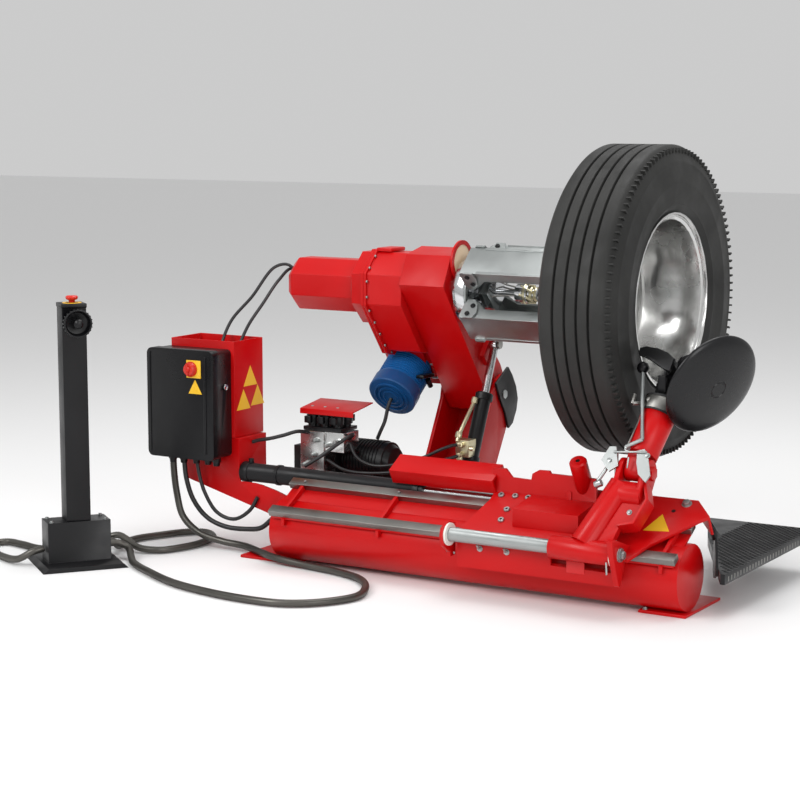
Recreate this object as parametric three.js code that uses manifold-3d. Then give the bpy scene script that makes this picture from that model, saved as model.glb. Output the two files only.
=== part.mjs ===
// Truck tyre changer with a clamped wheel and a pedestal control, in millimetres, +Z up.
// X runs along the base tube and is 0 at its right end, Y runs to the back, the floor is Z = 0.
import * as THREE from 'three';
import { ConvexGeometry } from 'three/addons/geometries/ConvexGeometry.js';
import { mergeVertices } from 'three/addons/utils/BufferGeometryUtils.js';
import Module from 'manifold-3d';

const wasm = await Module();
wasm.setup();

// ---- driving dimensions ----
const GAP = 0.4; // clearance between touching parts
const TUBE = { r: 109.5, z: 119.5, length: 1558, wall: 8 };
const SLOPE = Math.atan(0.583); // the bed falls towards the operator at this angle
const BED_Z = 285; // height of the carriage surface above the tube axis
const SPINDLE = { y: 480, z: 949 }; // chuck axis, parallel to the base tube
const HINGE = { y: 747, z: 541 }; // hinge axis of the chuck arm
const ARM = { x0: -1288, x1: -1104 };
const COLUMN = { x0: -1307, x1: -1087, wall: 13 };
const CASE = { x0: -1500, x1: -1289, flangeX: -1444 };
const LIFT = { x: -1064, foot: [445.5, 285], eye: [647, 740.5], barrelR: 27, rodR: 15 };
const SLIDE = { y: 88, z: 283, r: 34, x0: -1800, x1: -1050 };
const TYRE = { x0: -560, x1: -267, r: 532, bead: 297 };
const RIM = { x0: -542, x1: -287, r: 304, bore: 142 };
const JAW = { r: 170, half: 60, x0: -1030, x1: -612, tipX: -520 };
const PIVOT = { y: -176, z: 208, r: 23 }; // tool arm pivot shaft
const BOX = { x0: -2129, x1: -1832, y0: -58, y1: 59, z0: 337, z1: 737 };
const BIN = { x0: -2106, x1: -1822, y0: 60, y1: 241, z0: 408, z1: 762, wall: 4 };
const PEDESTAL = { x: -2160, y: -435, turn: THREE.MathUtils.degToRad(52.5), height: 938 };

// ---- paints and metals ----
const finish = (color, roughness, metalness) => new THREE.MeshStandardMaterial({ color, roughness, metalness });
const red = () => finish(0xc40a0c, 0.35, 0.1);
const black = () => finish(0x1a1a1a, 0.5, 0.1);
const steel = () => finish(0xa8aaa8, 0.35, 0.9);
const zinc = () => finish(0xb6bab8, 0.3, 0.9);
const chrome = () => finish(0xd8dadc, 0.12, 1);
const aluminium = () => finish(0xd0d0ce, 0.2, 1);
const blue = () => finish(0x0f4c8c, 0.4, 0.1);
const rubber = () => finish(0x1c1c1d, 0.8, 0);
const grey = () => finish(0x4a4b4c, 0.6, 0.2);
const cream = () => finish(0xcfc9a8, 0.4, 0.6);
const armour = () => finish(0x3a3934, 0.4, 0.7);

// ---- solids ----
const toSolid = (geometry, matrix = new THREE.Matrix4()) => {
  const g = geometry.clone();
  g.deleteAttribute('normal');
  g.deleteAttribute('uv');
  const m = mergeVertices(g, 1e-4).applyMatrix4(matrix);
  const t = m.index.array;
  const kept = [];
  for (let i = 0; i < t.length; i += 3) {
    const tri = [t[i], t[i + 1], t[i + 2]];
    if (new Set(tri).size === 3) kept.push(...tri);
  }
  const build = (list) => new wasm.Manifold(new wasm.Mesh({
    numProp: 3,
    vertProperties: new Float32Array(m.attributes.position.array),
    triVerts: new Uint32Array(list),
  }));
  const solid = build(kept);
  return solid.volume() > 0 ? solid : build(kept.reverse());
};
const toGeometry = (solid) => {
  const data = solid.getMesh();
  const g = new THREE.BufferGeometry();
  g.setAttribute('position', new THREE.BufferAttribute(new Float32Array(data.vertProperties), 3));
  g.setIndex(new THREE.BufferAttribute(new Uint32Array(data.triVerts), 1));
  return g;
};
const moved = (solid, matrix) => toSolid(toGeometry(solid), matrix);
// smallest convex body round some solids
const wrap = (...solids) => toSolid(new ConvexGeometry(solids.flatMap((solid) => {
  const p = toGeometry(solid).attributes.position;
  return Array.from({ length: p.count }, (_, i) => new THREE.Vector3().fromBufferAttribute(p, i));
})));
const join = (...solids) => solids.reduce((a, b) => a.add(b));
const cut = (solid, ...tools) => tools.reduce((a, b) => a.subtract(b), solid);
const basis = (bx, by, bz, origin = [0, 0, 0]) => new THREE.Matrix4()
  .makeBasis(new THREE.Vector3(...bx), new THREE.Vector3(...by), new THREE.Vector3(...bz))
  .setPosition(...origin);
const outline = (points) => new THREE.Shape(points.map(([a, b]) => new THREE.Vector2(a, b)));
const extrude = (points, depth, matrix) =>
  toSolid(new THREE.ExtrudeGeometry(outline(points), { depth, bevelEnabled: false }), matrix);
// prisms along each axis; the outline is (Y, Z), (X, Z) or (X, Y)
const prismX = (points, x0, x1) => extrude(points, x1 - x0, basis([0, 1, 0], [0, 0, 1], [1, 0, 0], [x0, 0, 0]));
const prismY = (points, y0, y1) => extrude(points, y1 - y0, basis([1, 0, 0], [0, 0, 1], [0, -1, 0], [0, y1, 0]));
const prismZ = (points, z0, z1) => extrude(points, z1 - z0, basis([1, 0, 0], [0, 1, 0], [0, 0, 1], [0, 0, z0]));
const block = (x0, x1, y0, y1, z0, z1) => toSolid(new THREE.BoxGeometry(x1 - x0, y1 - y0, z1 - z0),
  new THREE.Matrix4().makeTranslation((x0 + x1) / 2, (y0 + y1) / 2, (z0 + z1) / 2));
const aim = (from, way) => new THREE.Matrix4().makeRotationFromQuaternion(new THREE.Quaternion()
  .setFromUnitVectors(new THREE.Vector3(0, 1, 0), way.clone().normalize())).setPosition(...from);
// round bar between two points
const bar = (a, b, r, r2 = r, sides = 24) => {
  const way = new THREE.Vector3(...b).sub(new THREE.Vector3(...a));
  const g = new THREE.CylinderGeometry(r2, r, way.length(), sides).translate(0, way.length() / 2, 0);
  return toSolid(g, aim(a, way));
};
// turned part; the profile is (radius, distance along the direction from the point)
const turned = (profile, from, direction, sides = 32) => toSolid(
  new THREE.LatheGeometry(profile.map(([r, t]) => new THREE.Vector2(r, t)), sides),
  aim(from, new THREE.Vector3(...direction)));
const alongX = (profile, y, z, sides = 32) => turned(profile, [0, y, z], [1, 0, 0], sides);
const ring = (r0, r1, x0, x1, y, z, sides = 32) =>
  alongX([[r0, x0], [r1, x0], [r1, x1], [r0, x1], [r0, x0]], y, z, sides);
// tube of a round section along a smooth curve through hand-picked points
const cord = (points, r, steps, sides = 8) => {
  const curve = new THREE.CatmullRomCurve3(points.map((p) => new THREE.Vector3(...p)), false, 'centripetal');
  const corner = (i) => [r * Math.cos(2 * Math.PI * i / sides), r * Math.sin(2 * Math.PI * i / sides)];
  const section = outline(Array.from({ length: sides }, (_, i) => corner(i)));
  return toSolid(new THREE.ExtrudeGeometry(section, { steps, extrudePath: curve, bevelEnabled: false }));
};
const bed = (u, n) => [u * Math.cos(SLOPE) - n * Math.sin(SLOPE), BED_Z + u * Math.sin(SLOPE) + n * Math.cos(SLOPE)];
const onBed = new THREE.Matrix4().multiply(basis([1, 0, 0], [0, Math.cos(SLOPE), Math.sin(SLOPE)],
  [0, -Math.sin(SLOPE), Math.cos(SLOPE)], [0, 0, BED_Z]));
// plate lying on the bed; the outline is (X, distance up the slope), n0..n1 is its height above the bed surface
const bedPlate = (points, n0, n1) => extrude(points, n1 - n0, new THREE.Matrix4()
  .multiplyMatrices(onBed, new THREE.Matrix4().makeTranslation(0, 0, n0)));

const group = new THREE.Group();
const add = (name, solid, material) => {
  const g = toGeometry(solid);
  g.computeVertexNormals();
  const mesh = new THREE.Mesh(g, material);
  mesh.name = name;
  group.add(mesh);
};

// ---- base: tube, sloping bed, rails and feet ----
const makeBase = () => {
  const inner = TUBE.r - TUBE.wall;
  const shell = alongX([[0, 0], [TUBE.r, 0], [TUBE.r, -TUBE.length], [inner, -TUBE.length], [inner, -8], [0, -8]],
    0, TUBE.z, 48);
  add('base_tube', shell, red());
  const deck = bedPlate([[-1545, -152], [-12, -152], [-12, 38], [-1545, 38]], -44, -36);
  const rib = (x) => join(prismX([[-118, 150], [28, 150], [40, 256], [-118, 172]], x, x + 12),
    bedPlate([[x, -115.6], [x + 12, -115.6], [x + 12, 1.6], [x, 1.6]], -44, -16));
  const bore = alongX([[0, 20], [TUBE.r + GAP, 20], [TUBE.r + GAP, -1600], [0, -1600]], 0, TUBE.z, 48);
  add('bed_plate', cut(join(deck, ...[-1500, -1110, -720, -330, -60].map(rib)), bore), red());
  const rail = (u0, u1) => bedPlate([[-1552, u0], [-6, u0], [-6, u1], [-1552, u1]], -36 + GAP, -13);
  add('front_rail', rail(-152, -116), steel());
  add('rear_rail', rail(2, 38), steel());
  add('right_foot', block(-152, 12, -62, 226, 0, TUBE.z - TUBE.r - GAP), red());
};

// ---- rear frame: left foot, cross beams and the uprights under the chuck arm ----
const makeFrame = () => {
  const top = TUBE.z - TUBE.r - GAP;
  const leftFoot = block(-1716, -1480, -62, 250, 0, top);
  const backFoot = block(-1310, -1020, 250, 1000, 0, top);
  const beam = block(-1716, -1080, 150, 250, 0, 150);
  const spine = block(-1290, -1104, 250, 960, top - 1, 150);
  const riser = block(-1290, -1104, 520, 700, 149, 268);
  add('rear_frame', join(leftFoot, beam, backFoot, spine, riser), red());
  const side = [[531, 269], [697, 269], [784, 412], [834, 514], [834, 560], [798, 604], [747, 616], [704, 600],
    [672, 560], [664, 520]];
  const left = prismX(side, COLUMN.x0, COLUMN.x0 + COLUMN.wall);
  const right = prismX(side, COLUMN.x1 - COLUMN.wall, COLUMN.x1);
  const back = prismX([[679, 269], [697, 269], [784, 412], [834, 514], [834, 548], [825, 548], [825, 516], [775, 416]],
    COLUMN.x0 + 1, COLUMN.x1 - 1);
  const floor = prismX([[531, 269], [690, 269], [698, 283], [538, 283]], COLUMN.x0 + 1, COLUMN.x1 - 1);
  const pinHole = alongX([[0, -1400], [25 + GAP, -1400], [25 + GAP, -1000], [0, -1000]], HINGE.y, HINGE.z);
  add('column', cut(join(left, right, back, floor), pinHole), red());
  const guard = [[684, 588], [779, 641], [812, 606], [842, 560], [856, 512], [846, 470], [818, 424], [786, 407],
    [777, 424], [757, 470], [722, 520]];
  const guardPlate = prismX(guard, COLUMN.x1 + GAP, COLUMN.x1 + 10);
  add('hinge_guard', guardPlate, grey());
};

// ---- upright with the sloping side arm, sheet metal bin and electrical box ----
const makeControlPost = () => {
  const face = [[-2060, 246], [-1694, 149], [-1640, 134], [-1640, 20], [-1566, 20], [-1566, 205], [-1640, 230],
    [-1804, 268], [-1804, 407], [-2060, 407]];
  const front = prismY(face, 60, 68);
  const flange = block(-1812, -1804, 60, 232, 262, 407);
  const back = prismY([[-2060, 300], [-1804, 262], [-1804, 407], [-2060, 407]], 224, 232);
  const tie = block(-1640, -1566, 60, 149, 20, 148);
  add('control_post', cut(join(front, flange, back, tie, block(-2060, -1804, 60, 232, 399, 407)),
    ring(0, 42.5, -1802, -1700, SLIDE.y, SLIDE.z)), red());
  const b = BIN;
  const outer = block(b.x0, b.x1, b.y0, b.y1, b.z0, b.z1);
  add('control_bracket', cut(outer, block(b.x0 + b.wall, b.x1 - b.wall, b.y0 + b.wall, b.y1 - b.wall,
    b.z0 + b.wall, b.z1 + 5)), red());
  const { x0, x1, y0, y1, z0, z1 } = BOX;
  const round = (r, ya, yb, inset) => {
    const s = new THREE.Shape();
    const [a, c, d, e] = [x0 + inset, x1 - inset, z0 + inset, z1 - inset];
    s.moveTo(a + r, d).lineTo(c - r, d).absarc(c - r, d + r, r, -Math.PI / 2, 0, false);
    s.lineTo(c, e - r).absarc(c - r, e - r, r, 0, Math.PI / 2, false);
    s.lineTo(a + r, e).absarc(a + r, e - r, r, Math.PI / 2, Math.PI, false);
    s.lineTo(a, d + r).absarc(a + r, d + r, r, Math.PI, 1.5 * Math.PI, false);
    return prismY(s.getPoints(4).slice(0, -1).map((p) => [p.x, p.y]), ya, yb);
  };
  add('control_box', cut(join(round(16, -13, y1, 4), round(22, y0, -12, 0)), bar([x1 - 12, 18, 600], [x1 + 2, 18, 600],
    11 + GAP, 11 + GAP, 20)), black());
  add('switch_knob', turned([[0, 0], [28, 0], [28, 8], [20, 22], [0, 22]], [-1927, y0 - GAP, 668], [0, -1, 0], 24),
    red());
  add('side_button', turned([[0, 0], [11, 0], [11, 8], [0, 8]], [x1 - 4 + GAP, 18, 600], [1, 0, 0], 20), chrome());
};

// ---- hydraulic power pack behind the slide cylinder ----
const makePowerPack = () => {
  add('oil_tank', join(block(-1745, -1560, 330, 560, 200, 352), block(-1745, -1380, 340, 540, 151, 201)), black());
  add('valve_block', join(block(-1662, -1560, 250, 329, 270, 425), block(-1610, -1480, 262, 364, 353, 425)),
    aluminium());
  const coil = (x, y) => join(bar([x, y, 426], [x, y, 500], 17, 17, 12), bar([x, y, 448], [x, y, 480], 23, 23, 12));
  const coils = [[-1640, 300], [-1585, 300], [-1530, 300], [-1640, 360], [-1585, 360], [-1530, 360]];
  add('valve_coils', join(block(-1665, -1500, 275, 385, 425 + GAP, 438), ...coils.map(([x, y]) => coil(x, y))), black());
  const roof = prismX([[262, 502], [402, 522], [402, 526], [262, 506]], -1672, -1440);
  add('pack_cover', join(roof, prismX([[262, 486], [266, 486], [266, 504], [262, 504]], -1672, -1440)), red());
  add('pump_motor', join(bar([-1558, 430, 300], [-1380, 430, 300], 78, 78, 28), bar([-1381, 430, 300],
    [-1360, 430, 300], 70, 58, 28)), black());
};

// ---- free-standing control pedestal ----
const makePedestal = () => {
  const { x, y, turn, height } = PEDESTAL;
  const m = new THREE.Matrix4().makeRotationZ(turn).setPosition(x, y, 0);
  const set = (solid) => moved(solid, m);
  const foot = cut(prismY([[-152, 0], [152, 0], [132, 16], [-132, 16]], -142, 142));
  const box = block(-112, 112, -48, 62, 15, 158);
  add('pedestal_base', set(join(foot, box)), black());
  const post = cut(join(block(-43, 43, -40, 46, 158 + GAP, height - 22), block(-45, 45, -42, 48, height - 24,
    height - 10)), bar([2, 3, height - 18], [2, 3, height], 11 + GAP, 11 + GAP, 20));
  add('pedestal_post', set(post), black());
  const cup = [[0, 0], [30, 0], [38, 10], [44, 12], [50, 44], [44, 44], [38, 20], [0, 16], [0, 0]];
  const seat = new THREE.Vector3(4, -40 - GAP, height - 76).applyMatrix4(m);
  const out = new THREE.Vector3(0, -1, 0).applyAxisAngle(new THREE.Vector3(0, 0, 1), turn);
  add('joystick_cup', turned(cup, seat.toArray(), out.toArray(), 28), black());
  const root = seat.clone().addScaledVector(out, 19);
  add('joystick_lever', turned([[0, 0], [5, 0], [7, 10], [7, 22], [15, 26], [17, 34], [10, 41], [0, 42]],
    root.toArray(), out.toArray(), 20), black());
  const top = new THREE.Vector3(2, 3, height - 10 + GAP).applyMatrix4(m);
  add('stop_button', turned([[0, 0], [11, 0], [11, 9], [20, 12], [23, 20], [18, 25], [0, 26]], top.toArray(),
    [0, 0, 1], 24), finish(0xd03010, 0.4, 0));
};

// ---- chuck arm, gear case, drive motor and chuck cylinder ----
// frame of the gear case: t runs down along the arm from the spindle, d to the back across it
const onCase = (t, d) => [SPINDLE.y + 0.602 * t + 0.799 * d, SPINDLE.z - 0.799 * t + 0.602 * d];
const makeArm = () => {
  const side = [[332, 973], [626, 591], [677, 516], [705, 483], [747, 471], [788, 484], [814, 520], [816, 560],
    [765, 649], [685, 736], [631, 820], [606, 1042], [494, 1103], [387, 1080]];
  const bore = (r, y, z) => alongX([[0, -1400], [r, -1400], [r, -1000], [0, -1000]], y, z);
  const ears = prismX([[600, 700], [668, 780], [690, 752], [672, 712], [640, 660]], ARM.x1 - 1, LIFT.x - 22);
  const inside = prismX([[347, 972], [634, 599], [660, 562], [700, 618], [747, 627], [750, 646], [676, 729], [620, 816],
    [596, 1034], [492, 1090], [393, 1069]], ARM.x0 + 10, ARM.x1 - 10);
  add('chuck_arm', cut(cut(join(prismX(side, ARM.x0, ARM.x1), ears), inside), bore(56 + GAP, SPINDLE.y, SPINDLE.z),
    bore(25 + GAP, HINGE.y, HINGE.z)), red());
  add('hinge_pin', alongX([[0, COLUMN.x0 - 14], [33, COLUMN.x0 - 14], [33, COLUMN.x0 - GAP], [25, COLUMN.x0 - GAP],
    [25, COLUMN.x1 + 0.2], [0, COLUMN.x1 + 0.2]], HINGE.y, HINGE.z), steel());

  const around = (r) => Array.from({ length: 8 }, (_, i) => {
    const a = Math.PI / 4 * (i + 0.5);
    const k = r / Math.cos(Math.PI / 8);
    return [SPINDLE.y + k * Math.cos(a), SPINDLE.z + k * Math.sin(a)];
  });
  const shape = (grow, x0, x1) => wrap(prismX(around(131 + grow), x0, x1), prismX([
    onCase(196 + grow, -132 - grow), onCase(236 + grow, -96 - grow), onCase(236 + grow, 120 + grow),
    onCase(180, 132 + grow)], x0, x1));
  const lobe = (x0, x1) => prismX([onCase(150, -60), onCase(430, -60), onCase(440, -40), onCase(440, 60),
    onCase(400, 105), onCase(150, 105)], x0, x1);
  const { x0, x1, flangeX } = CASE;
  const hollow = (a, b) => ring(0, 112, a, b, SPINDLE.y, SPINDLE.z).add(ring(0, 30, a, b, SPINDLE.y, SPINDLE.z));
  const left = join(prismX(around(131), x0, flangeX - 10), shape(0, flangeX - 14, flangeX - 0.2),
    shape(10, flangeX - 12, flangeX - 0.2), lobe(-1514, flangeX - 0.2));
  add('gear_case_left', cut(left, hollow(x0 + 10, flangeX + 1)), red());
  const right = join(shape(0, flangeX + 0.2, x1), shape(10, flangeX + 0.2, flangeX + 12), lobe(flangeX + 0.2, -1322));
  add('gear_case_right', cut(right, hollow(flangeX - 1, x1 - 12), ring(0, 56 + GAP, x1 - 13, x1 + 1, SPINDLE.y,
    SPINDLE.z)), red());

  const eight = (r, a, b) => prismX(around(r), a, b);
  add('chuck_cylinder', join(eight(96.5, -1786, x0 - GAP), wrap(eight(96.5, -1790, -1785),
    eight(74, -1816, -1812))), red());
  const at = (d) => [-1421, ...onCase(341, d)];
  add('drive_motor', join(bar(at(-60 - GAP), at(-72), 91, 91, 36), bar(at(-71), at(-170), 86, 86, 36),
    bar(at(-169), at(-222), 90, 90, 36), bar(at(-221.5), at(-232), 90, 78, 36)), blue());
};

// ---- lift cylinder of the chuck arm ----
const makeLift = () => {
  const foot = new THREE.Vector3(LIFT.x, ...LIFT.foot);
  const eye = new THREE.Vector3(LIFT.x, ...LIFT.eye);
  const way = eye.clone().sub(foot).normalize();
  const reach = (t) => foot.clone().addScaledVector(way, t).toArray();
  const length = eye.distanceTo(foot);
  const R = LIFT.barrelR;
  const half = (y, z, r, w) => alongX([[0, LIFT.x - w], [r, LIFT.x - w], [r, LIFT.x + w], [0, LIFT.x + w]], y, z, 24);
  const ringX = (y, z, r0, r1, w) => ring(r0, r1, LIFT.x - w, LIFT.x + w, y, z, 24);
  const barrel = join(bar(reach(14), reach(287), R, R, 28), bar(reach(280), reach(292), R + 4, R + 4, 28),
    half(...LIFT.foot, 24, 14));
  const inside = bar(reach(40), reach(300), 21, 21, 24);
  const mouth = bar(reach(270), reach(300), LIFT.rodR + GAP, LIFT.rodR + GAP, 20);
  add('lift_barrel', cut(barrel, cut(inside, bar(reach(274), reach(301), 40, 40, 20)), mouth,
    half(...LIFT.foot, 12 + GAP, 20)), black());
  const rod = join(bar(reach(198), reach(length - 18), LIFT.rodR, LIFT.rodR, 20), bar(reach(150), reach(200), 20.5, 20.5, 24),
    half(...LIFT.eye, 22, 14));
  add('lift_rod', cut(rod, half(...LIFT.eye, 16, 20)), chrome());
  add('lift_eye_pin', join(alongX([[0, LIFT.x - 21.5], [11, LIFT.x - 21.5], [11, LIFT.x + 18], [0, LIFT.x + 18]],
    ...LIFT.eye, 20), alongX([[0, LIFT.x + 17], [17, LIFT.x + 17], [17, LIFT.x + 24], [0, LIFT.x + 24]], ...LIFT.eye, 20)),
  steel());
  const [fy, fz] = LIFT.foot;
  const plate = (x) => prismX([[fy - 45, 150.5], [fy + 50, 150.5], [fy + 24, fz + 14], [fy, fz + 26], [fy - 24, fz + 14]],
    x, x + 8);
  const base = block(LIFT.x - 40, LIFT.x + 40, fy - 45, fy + 50, 142, 151.5);
  const neck = block(LIFT.x - 40, LIFT.x + 40, fy - 40, fy + 40, 10, 143);
  const pin = half(fy, fz, 12, 39);
  add('lift_bracket', join(plate(LIFT.x - 40), plate(LIFT.x + 32), base, neck, pin), red());
  const m = (y, z) => [LIFT.x - 6, y, z];
  add('lift_manifold', join(cut(block(LIFT.x - 34, LIFT.x + 20, 416, 470, 352, 414),
    bar(reach(5), reach(300), R + GAP, R + GAP, 28)), bar(m(420, 395), m(396, 400), 9, 9, 12),
    bar(m(417, 366), m(396, 362), 8, 8, 12), bar([LIFT.x + 19, 427, 384], [LIFT.x + 34, 427, 384], 9, 9, 12)), cream());
};

// ---- spindle, jaws and the clamped wheel ----
const makeChuck = () => {
  const { y, z } = SPINDLE;
  const body = join(ring(0, 122, -1080, -1036, y, z, 48), ring(0, 56, -1470, -1079, y, z, 32));
  const turn = (i) => new THREE.Matrix4().makeRotationX(Math.PI / 4 + i * Math.PI / 2).setPosition(0, y, z);
  const slot = (i) => moved(block(-1047.5, -1035, 24, 130, -16, 16), turn(i));
  const hub = join(ring(0, 46, -1050, -1004, y, z, 32), moved(block(-1006, -967, -54, 54, -54, 54), turn(0)));
  const rod = join(ring(0, 11, -970, -880, y, z, 20), ring(0, 34, -881, -835, y, z, 28), ring(0, 22, -836, -800, y, z, 20));
  add('spindle', join(cut(join(body, hub), ...[0, 1, 2, 3].map(slot)), rod), chrome());
  add('bull_gear', ring(56 + GAP, 106, -1460, -1420, y, z, 48), steel());
  const jaw = () => {
    const { r, half, x0, x1, tipX } = JAW;
    const plate = block(x0, x1, r - 12, r, -half, half);
    const flank = (v) => extrude([[x0 - 4, 96], [x0 + 46, 92], [x0 + 84, 128], [x1, 128], [x1, r - 6], [x0, r - 6]], 8,
      basis([1, 0, 0], [0, 1, 0], [0, 0, 1], [0, 0, v]));
    const foot = block(x0 - 4, x0 + 18, 82, r - 4, -half, half);
    const tongue = block(-1046, x0 - 3, 76, 116, -14, 14);
    const tip = block(x1 - 30, tipX, 112, 138, -24, 24);
    const root = block(x1 - 30, x1, 112, r, -30, 30);
    return join(plate, flank(-half), flank(half - 8), foot, tongue, tip, root);
  };
  [0, 1, 2, 3].forEach((i) => add(`jaw_${i + 1}`, moved(jaw(), turn(i)), zinc()));

  const c = (RIM.x0 + RIM.x1) / 2;
  const profile = [[276, -540], [292, -542], [304, -542], [304, -535], [291, -534], [285, -502], [286, -327],
    [291, -295], [304, -294], [304, -287], [297, -287], [294, -297], [280, -303], [276, -356], [276, -540]];
  add('rim', alongX(profile, y, z, 40), aluminium());
  add('wheel_disc', alongX([[RIM.bore, -548], [240, -548], [275.6, -540], [275.6, -530], [262, -529], [236, -536],
    [RIM.bore, -536], [RIM.bore, -548]], y, z, 40), aluminium());
  const half = [[293, c + 84], [293, c + 116], [308, c + 118], [330, c + 134], [380, c + 146.5], [430, c + 146],
    [480, c + 137], [512, c + 124], [524, c + 113], [532, c + 107.5]];
  const inner = [[505, c + 95], [470, c + 116], [400, c + 126], [340, c + 114], [312, c + 84]];
  const grooves = [64, 21, -21, -64].flatMap((g) => [[532, c + g + 4.5], [520, c + g + 3.5], [520, c + g - 3.5],
    [532, c + g - 4.5]]);
  const flip = (list) => list.map(([r, x]) => [r, 2 * c - x]).reverse();
  const tyre = [...half, ...grooves, ...flip(half), ...flip(inner), ...inner];
  add('tyre', alongX([...tyre, tyre[0]], y, z, 48), rubber());
};

// ---- carriage that slides on the bed ----
const makeCarriage = () => {
  const { y, z, r } = SLIDE;
  add('slide_barrel', join(ring(26, r, SLIDE.x0 + 30, SLIDE.x1, y, z, 28), alongX([[0, SLIDE.x0], [r + 4, SLIDE.x0],
    [r + 4, SLIDE.x0 + 31], [0, SLIDE.x0 + 31]], y, z, 28), ring(20 + GAP, r + 3, SLIDE.x1 - 26, SLIDE.x1 + 6, y, z, 28),
  block(SLIDE.x0 + 4, SLIDE.x0 + 26, y - 10, y + 10, z - 60, z)), black());
  add('slide_rod', join(alongX([[0, -1500], [25.4, -1500], [25.4, -1470], [20, -1470], [20, -462], [0, -462]], y, z, 28)),
    chrome());
  const deck = bedPlate([[-792, -172], [-740, 22], [-740, 128], [-24, 128], [40, 58], [12, 32], [-110, -112],
    [-150, -186]], -12, 0);
  const tongue = bedPlate([[-1142, 58], [-735, 58], [-735, 148], [-1142, 148]], 43, 51);
  const tongueSides = [[58, 66], [140, 148]].map(([u0, u1]) => bedPlate([[-1142, u0], [-735, u0], [-735, u1],
    [-1142, u1]], u0 < 100 ? -4 : 30, 44));
  const skirt = prismY([[-770, 96], [-180, 96], [-180, 196], [-770, 196]], -150, -138);
  const profile = prismY([[-748, 300], [-748, 396], [-700, 400], [-675, 372], [-603, 370], [-599, 392], [-575, 406],
    [-536, 407], [-530, 398], [-394, 397], [-366, 396], [-362, 380], [-362, 300]], 56, 66);
  const flange = bedPlate([[-24, 128], [40, 58], [34, 52.5], [-30, 122.5]], -75, -1);
  const pegHole = bar([-415, 94.1, 333.4], [-415, 22, 458], 30 + GAP, 30 + GAP, 24);
  const bracket = block(-470, -452, 52, 122, 296, 345);
  const riser = wrap(bedPlate([[-599, -96], [-359, -96], [-359, 60], [-599, 60]], -1, 0),
    prismX([[-84, 238], [-84, 297], [-60, 300], [40, 318], [56, 318], [56, 305]], -599, -359));
  const ear = (x0, x1) => join(prismX([[-150, 130], [-130, 150], [-130, 240], [-176, 250], [-210, 232], [-218, 204],
    [-206, 172], [-176, 150]], x0, x1), block(x0, x1, -164, -130, 130, 215));
  const gusset = prismX([[-236, 262], [-222, 266], [-96, 222], [-128, 196], [-172, 104], [-182, 108], [-228, 214]],
    -184, -166);
  const hole = alongX([[0, -900], [PIVOT.r + GAP, -900], [PIVOT.r + GAP, -100], [0, -100]], PIVOT.y, PIVOT.z);
  const bay = ring(0, 74, -424, -184.4, PIVOT.y, PIVOT.z).add(ring(0, 30, -787, -423, PIVOT.y, PIVOT.z));
  const rodSeat = ring(0, 20 + GAP, -480, -440, y, z, 28);
  const body = cut(join(deck, tongue, ...tongueSides, skirt, profile, bracket, riser, flange), bay, pegHole);
  add('carriage_plate', cut(join(body, ear(-800, -788), gusset), hole, rodSeat), red());
  add('peg', cut(join(bar([-415, 91.1, 338.8], [-415, 25, 452.8], 30, 30, 20), bar([-415, 25.4, 452.2], [-415, 22, 458], 30, 26,
    20)), bar([-415, 32, 440.8], [-415, 18, 465], 8, 8, 8)), red());
  add('pivot_shaft', alongX([[0, -806], [30, -806], [30, -800 - GAP], [PIVOT.r, -800 - GAP], [PIVOT.r, -164],
    [0, -164]], PIVOT.y, PIVOT.z, 28), steel());
  const edge = [[110, -24], [126, -24], [126, 787], [-262, 787], [-262, 770], [-146, 490]];
  const tread = prismZ(edge, 142, 150);
  const inner = [[116, -16], [118, 779], [-252, 779], [-252, 772], [-138, 492]];
  const lip = cut(prismZ(edge, 116, 143), prismZ(inner, 115, 144));
  // the web stands under the left edge of the tread and carries it from the down-turned flange of the deck
  const along = new THREE.Vector3(-256, 514, 0).normalize();
  const web = extrude([[70, 148], [92, 122], [176, 96], [214, 116], [214, 148], [186, 246], [150, 238]], 8,
    basis(along.toArray(), [0, 0, 1], [along.y, -along.x, 0], [110 - 8 * along.y, -24 + 8 * along.x, 0]));
  const seat = wrap(bedPlate([[-16, 119], [32, 66], [44, 78], [-2, 130]], -84, -75 - GAP), block(30, 46, 104, 132, 226, 238));
  add('footplate', join(tread, lip, web, seat), black());
};

// ---- tool arm ----
const LEAN = { a: [0, 0.588, 0.809], b: [0, -0.809, 0.588] };
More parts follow.
